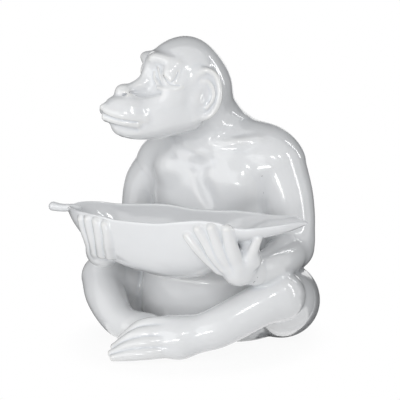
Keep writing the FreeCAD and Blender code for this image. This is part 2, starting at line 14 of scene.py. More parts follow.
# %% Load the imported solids
import math
import time

import bpy
import numpy as np
from mathutils import Matrix, Vector


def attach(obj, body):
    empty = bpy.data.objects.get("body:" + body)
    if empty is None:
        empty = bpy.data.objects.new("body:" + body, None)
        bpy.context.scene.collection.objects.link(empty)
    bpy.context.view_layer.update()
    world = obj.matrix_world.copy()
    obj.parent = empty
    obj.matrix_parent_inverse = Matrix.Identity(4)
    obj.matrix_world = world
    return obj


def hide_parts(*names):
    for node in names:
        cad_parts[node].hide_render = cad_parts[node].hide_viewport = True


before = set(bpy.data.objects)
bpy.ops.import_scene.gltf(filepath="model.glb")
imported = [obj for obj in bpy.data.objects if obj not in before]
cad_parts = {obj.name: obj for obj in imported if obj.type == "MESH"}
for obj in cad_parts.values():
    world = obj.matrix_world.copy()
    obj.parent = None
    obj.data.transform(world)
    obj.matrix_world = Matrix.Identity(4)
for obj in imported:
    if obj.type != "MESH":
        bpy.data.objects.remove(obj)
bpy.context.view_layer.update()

# %% [markdown]
# ## Soft joins
#
# All lengths in the fields are millimetres. `melt` is a minimum that rounds the place where two
# distances are nearly equal: the larger `reach` is, the wider the fillet. `carve` is the same for
# a maximum, so it cuts one form out of another and leaves a rounded edge.

# %% Join and carve
FAR = 50.0     # what a form answers to a point that is nowhere near it
MARGIN = 20.0  # how far past its own size a form still works its distance out


def melt(a, b, reach):
    """The smaller of a and b, lowered by a quarter of reach times the square of their closeness."""
    close = np.maximum(reach - np.abs(a - b), 0) / reach
    return np.minimum(a, b) - close * close * reach * 0.25


def carve(a, b, reach):
    """The larger of a and b with the same rounding."""
    return -melt(-a, -b, reach)


def smooth_step(value, low, high):
    """0 below low, 1 above high, and 3t^2 - 2t^3 between."""
    t = np.clip((value - low) / (high - low), 0, 1)
    return t * t * (3 - 2 * t)


print("two surfaces that cross, melted over 8 mm: %.1f mm" % melt(0.0, 0.0, 8.0))

# %% [markdown]
# ## Two round forms
#
# Nearly everything here is an egg or a bar. The egg's distance is the usual estimate: scaled radius
# times (scaled radius less one), over the length of its slope. A bar follows a smooth curve through
# a few given points, and its radius changes on the way, as on a finger or a shin. Points that
# lie far away get a constant, which saves most of the work.

# %% Egg and bar
def egg(points, centre, radii):
    """Distance to an ellipsoid: k(k - 1)/g, k the scaled radius and g the length of its slope."""
    radii = np.asarray(radii, float) * np.ones(3)
    away = points - np.asarray(centre, float)
    result = np.full(len(points), FAR)
    near = (away * away).sum(1) < (1.3 * radii.max() + MARGIN) ** 2
    away = away[near]
    k = np.sqrt(((away / radii) ** 2).sum(1)) + 1e-9
    g = np.sqrt(((away / radii ** 2) ** 2).sum(1)) + 1e-9
    result[near] = k * (k - 1) / g
    return result


def along(rows, t):
    """Values and slopes at t = 0, 1, 2 and between of a smooth curve through the rows: each stretch
    is a cubic whose slope at a row is half the step between its neighbours."""
    p = np.asarray(rows, float)
    p = np.vstack([2 * p[0] - p[1], p, 2 * p[-1] - p[-2]])
    i = np.clip(np.asarray(t).astype(int), 0, len(p) - 4)
    s = (t - i)[:, None]
    a, b, c, d = p[i], p[i + 1], p[i + 2], p[i + 3]
    first, second, third = c - a, 2 * a - 5 * b + 4 * c - d, 3 * b - a - 3 * c + d
    return (0.5 * (2 * b + first * s + second * s ** 2 + third * s ** 3),
            0.5 * (first + 2 * second * s + 3 * third * s ** 2))


def bar(points, rows, steps=6):
    """Distance to a bar through rows of (x, y, z, radius). The nearest of a few short straight
    stretches gives a first place on the curve. Two Newton steps then make the way to the curve
    square to it, so no crease shows where the stretches met."""
    last = len(rows) - 1
    share_at = np.linspace(0, last, steps)
    knots = along(rows, share_at)[0]
    margin = 1.3 * knots[:, 3].max() + MARGIN
    near = ((points > knots[:, :3].min(0) - margin)
            & (points < knots[:, :3].max(0) + margin)).all(1)
    here, result = points[near], np.full(len(points), FAR)
    best, place = np.full(len(here), 1e9), np.zeros(len(here))
    for number in range(steps - 1):
        start, end = knots[number], knots[number + 1]
        way = end[:3] - start[:3]
        share = np.clip((here - start[:3]) @ way / (way @ way), 0, 1)
        off = here - start[:3] - share[:, None] * way
        level = np.sqrt((off * off).sum(1)) - start[3] - (end[3] - start[3]) * share
        closer = level < best
        best = np.where(closer, level, best)
        step = share_at[number + 1] - share_at[number]
        place = np.where(closer, share_at[number] + share * step, place)
    for again in range(2):
        middle, slope = along(rows, place)
        slope = slope[:, :3]
        move = ((here - middle[:, :3]) * slope).sum(1) / (slope * slope).sum(1)
        place = np.clip(place + move, 0, last)
    middle = along(rows, place)[0]
    result[near] = np.linalg.norm(here - middle[:, :3], axis=1) - middle[:, 3]
    return result


def stations(rows, x):
    """The rows' values at x: cubics whose slope at a row is the weighted harmonic mean of the
    slopes beside it, and zero at a crest, so they never overshoot."""
    place, rows = rows[:, 0], rows[:, 1:]
    step, rise = np.diff(place), np.diff(rows, axis=0) / np.diff(place)[:, None]
    slope = np.zeros_like(rows)
    slope[0], slope[-1] = rise[0], rise[-1]
    w1 = (2 * step[1:] + step[:-1])[:, None]
    w2 = (step[1:] + 2 * step[:-1])[:, None]
    with np.errstate(all="ignore"):
        mean = (w1 + w2) / (w1 / rise[:-1] + w2 / rise[1:])
    slope[1:-1] = np.where(rise[:-1] * rise[1:] > 0, mean, 0)
    x = np.clip(x, place[0], place[-1])
    i = np.clip(np.searchsorted(place, x) - 1, 0, len(place) - 2)
    t, h = ((x - place[i]) / step[i])[:, None], step[i][:, None]
    return ((1 + 2 * t) * (1 - t) ** 2 * rows[i] + t * (1 - t) ** 2 * h * slope[i]
            + t * t * (3 - 2 * t) * rows[i + 1] + t * t * (t - 1) * h * slope[i + 1])


def both(points):
    """The same points with their side folded to the left, for forms that come in pairs."""
    return points * np.where(points[:, :1] < 0, np.array([[-1.0, 1, 1]]), np.ones((1, 3)))


print("a ball of 10 mm, asked 12 mm from its middle:", egg(np.array([[12.0, 0, 0]]), (0, 0, 0), 10))

# %% [markdown]
# ## Trunk
#
# The trunk is a stack of egg-shaped rings, as on a potter's armature: a wide seat, a heavy belly, a
# waist, and a broad yoke that slopes to the neck. Each ring reaches less far to the front than to
# the back. On top of it come two shoulder caps, two low chest muscles, a shallow furrow between
# them, and a crease under each collar bone.

# %% Trunk field
RINGS = np.array([  # height, half width, reach to the front and to the back
    (0, 75, 56, 72), (32, 96, 84, 90), (80, 89, 91, 86), (108, 82, 73, 73), (140, 80, 53, 65),
    (190, 84, 54, 72), (228, 90, 49, 77), (256, 74, 35, 68), (271, 48, 18, 45)], float)


def rings(p):
    """k(k - 1) over the length of its slope, k the scaled distance from the upright middle."""
    wide, front, back = stations(RINGS, p[:, 2]).T
    deep = np.where(p[:, 1] < 0, front, back)
    k = np.sqrt((p[:, 0] / wide) ** 2 + (p[:, 1] / deep) ** 2) + 1e-9
    g = np.sqrt((p[:, 0] / wide ** 2) ** 2 + (p[:, 1] / deep ** 2) ** 2) + 1e-9
    return carve(k * (k - 1) / g, p[:, 2] - RINGS[-1, 0], 14)


def trunk(p):
    """Rings, two shoulder caps and two chest muscles, then furrow, collar crease, bone and pit."""
    d = melt(rings(p), egg(p, (62, 12, 227), (38, 34, 38)), 16)
    d = melt(d, egg(p, (-57, 8, 212), (36, 34, 36)), 16)
    d = melt(d, egg(p, (-38, -26, 211), (29, 26, 23)), 12)
    d = melt(d, egg(p, (45, -22, 197), (31, 28, 29)), 14)
    furrow = bar(p, [(2, -54, 224, 0), (9, -56, 200, 2.5), (17, -56, 184, 3.5),
                     (27, -57, 166, 2.5)])
    d = carve(d, -furrow, 15)
    collar = bar(p, [(-42, -42, 248, 1.5), (-27, -48, 241.5, 2.4), (-15, -51, 236, 2.4),
                     (-5, -52, 232, 1.2)])
    d = carve(d, -collar, 8)
    bone = bar(p, [(20, -40, 243, 1.5), (45, -36, 246, 3), (68, -22, 248, 1.5)])
    d = melt(d, bone, 12)
    hollow = bar(p, [(-2, -54, 219, 1.5), (9, -54, 220, 2.4), (18, -54, 224, 1.5)])
    return carve(d, -hollow, 15)


def neck(p):
    """A thick bar from inside the skull into the yoke."""
    return bar(p, [(-10, -30, 300, 42), (-7, -18, 277, 43), (-2, 0, 248, 48)], 4)


ahead_of_navel = np.array([[0.0, -100, 80]])
print("from 100 mm before the middle to the belly: %.1f mm" % trunk(ahead_of_navel)[0])

# %% [markdown]
# ## Head
#
# The head has its own frame: left, forward and up from a point in the skull, turned 35 degrees to
# the figure's right. Every form that comes in pairs is written once, with its side folded over. The
# profile runs from a domed crown over a thick brow, in at the root of the nose, and out along a
# long muzzle to soft lips that part a little.

# %% Head frame
HEAD_SPOT = np.array([-15.0, -50, 315])
HEAD_TURN = math.radians(-35)


def in_head(points):
    """Turn the points back by the head's turn, with forward as the second number."""
    c, s = math.cos(HEAD_TURN), math.sin(HEAD_TURN)
    q = points - HEAD_SPOT
    return np.stack([c * q[:, 0] + s * q[:, 1], s * q[:, 0] - c * q[:, 1], q[:, 2]], 1)


breastbone = np.array([[0.0, -52, 232]])
print("the top of the breastbone in the head's frame:", in_head(breastbone).round())


# %% Skull, brow and muzzle
def skull(q, s):
    """Crown, back and forehead, then the brow, the cheek bone and the cheek; s is q folded over."""
    d = egg(q, (0, 0, 10), (44, 44, 47.7))
    d = melt(d, egg(q, (0, -12, -2), (41, 43, 40)), 16)
    d = melt(d, egg(q, (0, 20, 8), (36, 32, 36)), 16)
    brow = bar(s, [(0, 43, 31, 6), (13, 46, 31.5, 7.5), (25, 38, 30, 4.5), (33, 28, 27, 1.5)])
    d = melt(d, brow, 11)
    d = melt(d, egg(s, (27, 27, -6), (14, 18, 14)), 14)
    return melt(d, egg(s, (21, 30, -28), (19, 32, 24)), 16)


def muzzle(d, q, s):
    """The long snout with its front, the bridge and tip of the nose, its wings, and the jaw."""
    m = egg(q, (0, 58, -32), (29, 42, 22))
    m = melt(m, egg(q, (0, 82, -24.5), (21, 23.5, 15.5)), 14)
    d = melt(d, m, 12)
    bridge = bar(q, [(0, 42, 26, 9), (0, 46, 16, 9), (0, 54, 4.5, 9), (0, 66, -2.5, 8.5),
                     (0, 78, -5.5, 8)])
    d = melt(d, bridge, 8)
    d = melt(d, egg(q, (0, 83.5, -6), (9, 8.5, 8.5)), 5)
    d = melt(d, egg(s, (8, 78, -10), (6, 8, 6)), 5)
    jaw = bar(s, [(0, 85, -47.5, 10), (9, 74, -49, 11.5), (19, 50, -46.5, 13), (29, 10, -37, 16)])
    d = melt(d, jaw, 12)
    return melt(d, egg(q, (0, 46, -46), (24, 36, 17)), 12)


chin = np.array([[0.0, 97, -48]])
print("from the chin to the surface: %.1f mm" % muzzle(skull(chin, chin), chin, chin)[0])

# %% [markdown]
# ## Lips, nostrils, eyes
#
# These are small bars laid on the face or carved into it: two lips with a groove between them, a
# dent for each nostril, an eyeball in a shallow socket, and lids and folds a millimetre or two
# thick. Glaze runs off such ridges and gathers beside them, which the finish repeats later.

# %% Face details
UPPER_LIP = [(0, 108.6, -23.5, 3.2), (10, 103, -28.6, 3.2), (18.5, 92, -32.5, 3),
             (23.5, 80, -34.5, 2.6), (27, 67, -36, 1.8)]
LOWER_LIP = [(0, 106.6, -35.5, 3.2), (9.5, 99.5, -38.5, 3.1), (17.5, 88.5, -41.5, 2.8),
             (24, 75, -43.5, 1.8)]
MOUTH = [(0, 114, -30.6, 1.1), (11, 104.5, -34.3, 1.2), (20.5, 93, -37.6, 0.8),
         (26, 80, -39.6, 0.5), (28, 66, -40, -1)]
UNDER_LIP = [(0, 104, -45, -1.5), (10, 98, -46.5, -0.5), (18, 88, -49, 0), (23, 76, -50, -1.5)]
WING = [(9, 77, -8, -0.8), (10.5, 67, -7, 0), (17, 56, -7.5, 0), (29, 49, -6, -1.2)]
LID = [(24.5, 47, 27, 0.7), (27, 43.5, 17.5, 1.0), (33, 41.5, 8.5, 1.0), (37.5, 38.5, 4, 0.9),
       (43, 29, 2, 0.5)]
OUTER_LID = [(36, 28, 21, -0.5), (39, 30.5, 15, 0.4), (39, 34, 9, 0.5), (37.5, 38, 5, 0.4)]
EYE_FOLDS = [
    [(19, 46, 22, 0.6), (21.5, 45, 14, 1.0), (26.5, 43, 6.5, 1.0), (33, 40.5, 1.5, 0.6)],
    [(14, 48, 16, 0.5), (16, 48.5, 9, 1.0), (22, 46.5, 2.5, 0.9), (29, 43.5, -1, 0.5)],
    [(24, 48.5, -1, 0.6), (33, 43.5, -2.5, 1.1), (40, 34, -2.5, 0.9), (43, 26, 0, 0.5)],
]


def face(d, s):
    """Lips, nostrils, wing folds, socket, eyeball and lids, on the side that s is folded to."""
    d = melt(d, bar(s, UPPER_LIP), 9)
    d = melt(d, bar(s, LOWER_LIP), 6)
    d = carve(d, -bar(s, MOUTH), 2.5)
    d = carve(d, -bar(s, UNDER_LIP), 8)
    d = carve(d, -egg(s, (9.5, 84, -9), (1.5, 2.4, 1.2)), 4)
    d = carve(d, -bar(s, WING), 10)
    d = carve(d, -egg(s, (26, 54, 16), (11, 9, 12)), 14)
    d = melt(d, egg(s, (29.5, 34, 14.5), (9, 10.5, 13)), 5)
    d = carve(d, -bar(s, LID), 2)
    d = carve(d, -bar(s, OUTER_LID), 2)
    for fold in EYE_FOLDS:
        d = melt(d, bar(s, fold), 4)
    return d


def head(p):
    q = in_head(p)
    s = both(q)
    return face(muzzle(skull(q, s), q, s), s)


print("points that draw the face:", sum(map(len, (UPPER_LIP, LOWER_LIP, MOUTH, UNDER_LIP, WING, LID,
                                                  OUTER_LID, *EYE_FOLDS))))

# %% [markdown]
# ## Ears
#
# Each ear is a thin plate with a low rolled rim, an inner fold and a shallow hollow. Its front edge
# sinks into the side of the head and its back edge stands off.

# %% Ear field
EAR_TURN = math.radians(20)
EAR_SPOT = np.array([45.0, -2, -8])
EAR_RIM = [(0, -13, 17, 2), (2.5, -6, 23.5, 2.8), (3.6, 3, 27, 3.1), (4.4, 12, 22, 3.3),
           (4.8, 17, 10, 3.4), (4.8, 17.5, -6, 3.4), (4, 12, -20, 3.4), (2, 3, -28, 3.2),
           (-0.5, -8, -29, 2.6)]
EAR_FOLD = [(3.2, -3, 14, 1.2), (4.4, 5, 13, 1.7), (5, 10, 4, 1.8), (5, 9.5, -7, 1.8),
            (4, 3, -17, 1.4)]


def ear(p, side):
    """Plate, rim, hollow, inner fold and the knob in front, in a frame of its own."""
    q = in_head(p) * np.array([side, 1.0, 1]) - EAR_SPOT
    c, s = math.cos(EAR_TURN), math.sin(EAR_TURN)
    e = np.stack([c * q[:, 0] + s * q[:, 1], s * q[:, 0] - c * q[:, 1], q[:, 2]], 1)
    d = egg(e, (-1.2, 3, 0), (5.5, 16, 27))
    d = melt(d, bar(e, EAR_RIM, 14), 4)
    d = carve(d, -egg(e, (9, 2, -3), (7, 8, 12)), 5)
    d = melt(d, bar(e, EAR_FOLD, 8), 3)
    return melt(d, egg(e, (1, -10, -6), (4, 5, 6)), 7)


print("an ear is %.0f mm high" % (EAR_RIM[2][2] + EAR_RIM[2][3] - EAR_RIM[-1][2] + EAR_RIM[-1][3]))

# %% [markdown]
# ## Arms and hands
#
# The arms hang from heavy shoulders and bend at the elbow. Each hand is a round palm with four
# fingers that lie side by side against the outside of the leaf, and a thumb at the end. The fingers
# touch each other, so their grooves come from a small reach in `melt`. The left palm also shows its
# edge between the first finger and the thumb, and the knuckle of the thumb.

# %% Arms
def upper_arm(p, side):
    """From the shoulder down to the elbow; the left shoulder is raised a little."""
    q = p * np.array([side, 1.0, 1])
    top = (82, 6, 212, 36.5) if side > 0 else (78, 4, 201, 35)
    return bar(q, [top, (96, 5, 178, 32), (103, 4, 142, 28.5), (102, 3, 116, 26)], 5)


def forearm(p, side):
    """From the elbow forward to the wrist."""
    q = p * np.array([side, 1.0, 1])
    if side > 0:
        rows = [(102, 2, 116, 26), (109, -32, 112, 24.5), (109, -68, 108, 21.5),
                (101, -98, 106, 17.5)]
    else:
        rows = [(102, 2, 116, 26), (111, -34, 113, 23), (112, -68, 112, 19), (102, -94, 116, 16)]
    return bar(q, rows, 5)


elbow = np.array([[102.0, 2, 116]])
print("depth of the elbow's middle: %.1f mm" % -melt(upper_arm(elbow, 1), forearm(elbow, 1), 14)[0])


# %% Hands
LEFT_FINGERS = [
    [(45, -159, 152, 4.6), (54, -155, 140, 5.6), (63, -147, 127, 6.6), (74, -137, 114, 7.5)],
    [(58, -159, 161, 4.8), (66, -154.5, 147, 6.1), (73, -150, 133, 7.2), (81, -140, 118, 8)],
    [(74, -157, 163.5, 5.0), (78, -153.5, 150, 6.6), (83, -149, 134, 7.8), (88, -139, 119, 8)],
    [(92, -153, 163, 6.2), (93, -149.5, 151, 7.6), (95, -145, 136, 8.6), (98, -136, 120, 9)]]
LEFT_THUMB = [(121, -134, 151, 4.8), (115, -133, 138, 6), (107, -130, 122, 8), (102, -126, 112, 9)]
RIGHT_FINGERS = [
    [(64, -158, 156, 5.0), (62, -156, 144, 6.0), (63, -152, 132, 6.8), (67, -142, 118, 7.2)],
    [(78, -155.5, 158, 5.0), (76, -153, 146, 6.2), (76, -149, 133, 7), (79, -140, 118, 7.5)],
    [(92, -151, 158.5, 5.0), (90, -148.5, 147, 6.2), (88, -145, 134, 7), (89, -137, 119, 7.5)],
    [(104, -146, 157, 5.0), (102, -143, 147, 6.2), (99, -139, 135, 7), (98, -131, 120, 7.5)]]
RIGHT_THUMB = [(118, -112, 146, 5), (118, -112, 138, 6), (114, -112, 130, 7.5),
               (106, -112, 118, 8.5)]


def hand(p, side):
    """Palm, fingers with grooves between them, and the thumb."""
    q = p * np.array([side, 1.0, 1])
    if side > 0:
        d, fingers, thumb = egg(q, (92, -121, 112), (20, 22, 20)), LEFT_FINGERS, LEFT_THUMB
        d = melt(d, egg(q, (107, -127, 134), (13, 8, 19)), 8)
        d = melt(d, egg(q, (112, -124, 124), (8, 9, 8)), 6)
    else:
        d, fingers, thumb = egg(q, (92, -116, 114), (21, 22, 19)), RIGHT_FINGERS, RIGHT_THUMB
    grip = np.full(len(p), FAR)
    for rows in fingers:
        grip = melt(grip, bar(q, rows, 5), 1.6)
    d = melt(d, grip, 7)
    return melt(d, bar(q, thumb, 5), 4)


for name, fingers in (("left", LEFT_FINGERS), ("right", RIGHT_FINGERS)):
    lengths = [round(math.dist(rows[0][:3], rows[-1][:3])) for rows in fingers]
    print(name, "fingers, tip to root:", lengths)

# %% [markdown]
# ## Legs and feet
#
# The figure sits with its legs folded in front of it, the left shin over the right foot. The
# thighs and shins are flat where they rest on the table. The left foot shows four long toes that
# lie over each other like tiles; the right one is tucked away under the shin.

# %% Legs
def thigh(p, side):
    """From the hip outward and forward to the knee."""
    q = p * np.array([side, 1.0, 1])
    return bar(q, [(64, 22, 47, 45), (87, 8, 48, 48), (108, -28, 57, 40), (118, -62, 70, 29)], 6)


LEFT_SHIN = [(118, -66, 72, 28), (98, -90, 60, 25), (62, -118, 38, 24), (30, -132, 27, 21)]
RIGHT_SHIN = [(-122, -66, 70, 28), (-106, -88, 52, 25), (-77, -112, 34, 21), (-50, -124, 26, 19)]
TOES = [
    [(24, -136, 38, 7), (2, -148.5, 43, 7.8), (-20, -156, 38.5, 7.4), (-42.5, -160, 22.5, 4.6)],
    [(26, -142, 31, 7), (2, -158, 35, 7.9), (-21, -168, 30, 7.5), (-45.5, -172, 14.5, 4.6)],
    [(26, -146, 22, 7), (2, -165, 25, 7.9), (-21, -175, 20, 7.4), (-44.5, -180, 9, 4.6)],
    [(26, -148, 13, 7), (2, -169, 13, 7.9), (-19, -179, 10.5, 7.4), (-39.5, -184, 5.5, 4.6)]]


def left_foot(p):
    """An instep, and four toes with grooves between them."""
    d = egg(p, (10, -138, 25), (32, 25, 25))
    toes = np.full(len(p), FAR)
    for rows in TOES:
        toes = melt(toes, bar(p, rows, 6), 1.6)
    return melt(d, toes, 7)


def right_foot(p):
    """Two plain eggs, because it is tucked away."""
    return melt(egg(p, (-34, -116, 22), (26, 20, 22)), egg(p, (0, -104, 18), (34, 18, 16)), 14)


print("the toes reach %.0f mm forward" % -min(rows[-1][1] - rows[-1][3] for rows in TOES))

# %% [markdown]
# ## The leaf
#
# The dish is a long leaf, folded up like a boat. Its cross-section at each place along the length
# is half a rounded rectangle: across is cos to the power 1/1.1, down is sin. Half width, depth and
# the height of the near and the far rim come from a short list of stations, joined by curves that
# never overshoot, so the rim waves but doesn't ripple. The same formula gives a field, which keeps
# the fingers out of the bowl and lays a fillet of glaze where they touch it.

# %% Leaf stations
LEAF = np.array([  # place, half width, depth, near rim, far rim
    (-146, 3, 3, 166, 166), (-138, 16, 12, 166.5, 168), (-122, 32, 30, 167, 167),
    (-100, 43, 50, 167, 164.5), (-80, 49, 61, 166.5, 165), (-40, 54, 70, 163.5, 167),
    (0, 55, 74, 164, 164), (35, 54, 72, 168.5, 165), (62, 52, 60, 171.5, 167),
    (80, 49, 42, 170.5, 167), (95, 46, 28, 166.5, 167), (110, 41, 20, 164.5, 167.5),
    (130, 33, 16, 166.5, 169.5), (150, 22, 12, 169.5, 171.5), (160, 12, 8, 171, 171),
    (168, 3, 4, 171.5, 171.5)], float)
LEAF_LINE = -107.0  # the Y of its middle line
LEAF_WALL = 4.4
LIP = 1.5           # the rounded lip stands this far above the open edge of the section
HEADROOM = 2.5      # the bowl is kept clear of clay up to this far above the rim


def leaf_at(x):
    """Half width, depth, near and far rim at each place."""
    return stations(LEAF, x) - np.array([0, LIP, LIP, LIP])


def leaf_field(p):
    """Distance to the leaf's outer surface, rim left open: ((y/w)^2.2 + down^2)^(1/2.1) less one,
    over the length of its slope across and down."""
    x, y, z = p[:, 0], p[:, 1] - LEAF_LINE, p[:, 2]
    wide, deep, near, far = leaf_at(x).T
    lean = np.clip(0.5 + 0.5 * y / wide, 0, 1)
    rim = near + (far - near) * lean
    across, down = np.abs(y) / wide, np.maximum(rim - z, 0) / deep
    total = np.maximum(across ** 2.2 + down ** 2, 1e-6)
    slope = total ** (1 / 2.1 - 1) / 2.1 * np.hypot(2.2 * across ** 1.2 / wide, 2 * down / deep)
    level = total ** (1 / 2.1)
    return (level - 1) / np.maximum(slope, 0.008), rim


def near_leaf(p, ceiling):
    """Which points are close enough to the leaf to ask its field."""
    return ((p[:, 0] > LEAF[0, 0]) & (p[:, 0] < LEAF[-1, 0])
            & (np.abs(p[:, 1] - LEAF_LINE) < 70) & (p[:, 2] > 80) & (p[:, 2] < ceiling))


def leaf_skin(p):
    """The leaf's wall from 0.4 mm under its outer face to its middle."""
    result, near = np.full(len(p), FAR), near_leaf(p, 185)
    d, rim = leaf_field(p[near])
    result[near] = np.maximum(np.abs(d + 1.3) - 0.9, p[near, 2] - rim + LIP)
    return result


def bowl(p):
    """The inside of the leaf, from the middle of its wall to just over its rim."""
    result, near = np.full(len(p), FAR), near_leaf(p, 230)
    d, rim = leaf_field(p[near])
    result[near] = np.maximum(d + LEAF_WALL / 2, p[near, 2] - rim - HEADROOM)
    return result


leaf_size = LEAF[-1, 0] - LEAF[0, 0], 2 * LEAF[:, 1].max()
print("the leaf is %.0f mm long and %.0f mm wide" % leaf_size)

# %% [markdown]
# ## The whole casting
#
# Each part keeps its own distance, and the smallest one names the part that a point belongs to.
# The shared surface comes from melting them together, with a wide fillet on top of the shoulder
# that narrows to a crease in the armpit.

# %% Distances of all parts
PARTS = ["torso", "neck", "head", "left_ear", "right_ear", "left_upper_arm", "right_upper_arm",
         "left_forearm", "right_forearm", "left_hand", "right_hand", "left_thigh", "right_thigh",
         "left_shin", "right_shin", "left_foot", "right_foot"]


def distances(p):
    """One distance for each name in PARTS."""
    return [trunk(p), neck(p), head(p), ear(p, 1), ear(p, -1), upper_arm(p, 1), upper_arm(p, -1),
            forearm(p, 1), forearm(p, -1), hand(p, 1), hand(p, -1), thigh(p, 1), thigh(p, -1),
            bar(p, LEFT_SHIN, 5), bar(p, RIGHT_SHIN, 5), left_foot(p), right_foot(p)]


inner = np.array([[0.0, 0, 100], [-15, -50, 315], [100, 4, 160]])
print("three places lie in:", [PARTS[i] for i in np.argmin(distances(inner), 0)])


# %% One casting
TABLE = 0.2  # the foot ring's glaze ends this far above the table


def casting(p, parts=None):
    """All parts melted together, less the bowl of the leaf and what lies under the table."""
    d = dict(zip(PARTS, parts or distances(p)))
    body = melt(melt(d["torso"], d["neck"], 14), d["head"], 16)
    body = melt(melt(body, d["left_ear"], 9), d["right_ear"], 9)
    fillet = 9 + 13 * smooth_step(p[:, 2], 195, 235)
    for side in ("left_", "right_"):
        lower = melt(d[side + "forearm"], d[side + "hand"], 12)
        near_dish = melt(lower, leaf_skin(p), 5)
        lower = np.where(lower < 9, np.maximum(near_dish, lower - 8), lower)
        body = melt(body, melt(d[side + "upper_arm"], lower, 14), fillet)
    left = melt(melt(d["left_thigh"], d["left_shin"], 6), d["left_foot"], 18)
    right = melt(melt(d["right_thigh"], d["right_shin"], 6), d["right_foot"], 10)
    body = melt(body, melt(left, right, 3), 6)
    body = carve(body, -bowl(p), 1)
    return carve(body, TABLE - p[:, 2], 3)


print("at the middle of the chest:", casting(np.array([[0.0, 0, 218]])))

# %% [markdown]
# ## From field to mesh
#
# The field is asked on a grid, but only in the blocks that the surface passes through. Every grid
# point gets a number: 0 outside, otherwise its part. A *surface net* then puts one vertex in each
# cell whose corners differ, and one four-sided face across each grid edge whose ends differ. A face
# between two parts goes to both of them, once each way round, so each part is a closed mesh and
# neighbours share their border to the last bit.

# %% Sample the field
PITCH = 1.6
BLOCK = 8
LOW, HIGH = np.array([-190.0, -212, -9]), np.array([196.0, 122, 394])


def in_chunks(function, points, size=400000):
    """The function's answers, asked for a few hundred thousand points at a time."""
    return np.concatenate([function(points[i:i + size]) for i in range(0, len(points), size)])


def both_fields(points):
    """The shared distance and the number of the nearest part."""
    parts = distances(points)
    return np.stack([casting(points, parts), np.argmin(parts, 0) + 1.0], 1)


def sample():
    """Distance and part at each grid point: exact in the blocks near the surface, and the block's
    own middle value elsewhere."""
    reach = PITCH * BLOCK * 1.1
    shape = np.ceil((HIGH - LOW) / PITCH / BLOCK).astype(int)
    axes = [LOW[i] + PITCH * (np.arange(shape[i]) * BLOCK + (BLOCK - 1) / 2) for i in range(3)]
    centres = np.stack(np.meshgrid(*axes, indexing="ij"), -1).reshape(-1, 3)
    coarse = in_chunks(both_fields, centres)
    near = (np.abs(coarse[:, 0]) < reach).reshape(shape)
    label = np.where(coarse[:, 0] < 0, coarse[:, 1], 0).reshape(shape).astype(np.int8)
    for axis in range(3):
        change = np.diff(label, axis=axis) != 0
        pad = [(0, 0)] * 3
        pad[axis] = (0, 1)
        near |= np.pad(change, pad)
        pad[axis] = (1, 0)
        near |= np.pad(change, pad)
    near &= coarse[:, 0].reshape(shape) < reach
    spread = [np.repeat(np.repeat(np.repeat(v, BLOCK, 0), BLOCK, 1), BLOCK, 2)
              for v in (coarse[:, 0].reshape(shape).astype(np.float32), label)]
    inner = np.stack(np.meshgrid(*[np.arange(BLOCK)] * 3, indexing="ij"), -1).reshape(-1, 3)
    cells = (np.argwhere(near)[:, None] * BLOCK + inner[None]).reshape(-1, 3)
    fine = in_chunks(both_fields, LOW + PITCH * cells)
    where = tuple(cells.T)
    spread[0][where] = fine[:, 0]
    spread[1][where] = np.where(fine[:, 0] < 0, fine[:, 1], 0)
    return spread


clock = time.time()
field_grid, part_grid = sample()
print("grid", field_grid.shape, "pitch", PITCH, "in %.1f s" % (time.time() - clock))


# %% Vertices of the net
def net_vertices(part, values):
    """In each cell with more than one number, the mean of the places where its edges cross the
    surface, or of the middles of its changing edges if it lies inside."""
    size = np.array(part.shape) - 1
    corners = [(a, b, c) for a in (0, 1) for b in (0, 1) for c in (0, 1)]
    first = part[:-1, :-1, :-1]
    mixed = np.zeros(size, bool)
    for a, b, c in corners[1:]:
        mixed |= part[a:a + size[0], b:b + size[1], c:c + size[2]] != first
    cells = np.argwhere(mixed)
    total, count = np.zeros((len(cells), 3, 2)), np.zeros((len(cells), 2))
    for corner in corners:
        for axis in range(3):
            if corner[axis]:
                continue
            end = list(corner)
            end[axis] = 1
            i, j = tuple((cells + corner).T), tuple((cells + end).T)
            outer = (part[i] == 0) != (part[j] == 0)
            inner = (part[i] != part[j]) & ~outer
            gap = np.where(outer, values[i] - values[j], 1)
            place = np.tile(np.array(corner, float), (len(cells), 1))
            place[:, axis] += np.where(outer, values[i] / gap, 0.5)
            for kind, chosen in enumerate((outer, inner)):
                total[:, :, kind] += place * chosen[:, None]
                count[:, kind] += chosen
    skin = count[:, 0] > 0
    mean = np.where(skin[:, None], total[:, :, 0] / np.maximum(count[:, :1], 1),
                    total[:, :, 1] / np.maximum(count[:, 1:], 1))
    return mixed, LOW + PITCH * (cells + mean), skin


clock = time.time()
in_net, spots, on_skin = net_vertices(part_grid, field_grid)
print("net of", len(spots), "vertices in %.1f s" % (time.time() - clock))


# %% Faces of the net
def net_faces(part, in_net):
    """Round each grid edge whose ends differ, the vertices of the four cells that share it, with
    the numbers of the parts below and above."""
    number = np.full(in_net.shape, -1, np.int64)
    number[in_net] = np.arange(in_net.sum())
    faces, owners = [], []
    for axis in range(3):
        a, b = [(1, 2), (2, 0), (0, 1)][axis]
        low, high = [slice(1, -1)] * 3, [slice(1, -1)] * 3
        low[axis], high[axis] = slice(0, -1), slice(1, None)
        below, above = part[tuple(low)], part[tuple(high)]
        edge = np.argwhere(below != above)
        base = edge + 1
        base[:, axis] -= 1
        ring = []
        for back_a, back_b in ((1, 1), (0, 1), (0, 0), (1, 0)):
            cell = base.copy()
            cell[:, a] -= back_a
            cell[:, b] -= back_b
            ring.append(number[tuple(cell.T)])
        faces.append(np.stack(ring, 1))
        owners.append(np.stack([below[tuple(edge.T)], above[tuple(edge.T)]], 1))
    return np.vstack(faces), np.vstack(owners)


faces, owners = net_faces(part_grid, in_net)
print("faces:", len(faces))


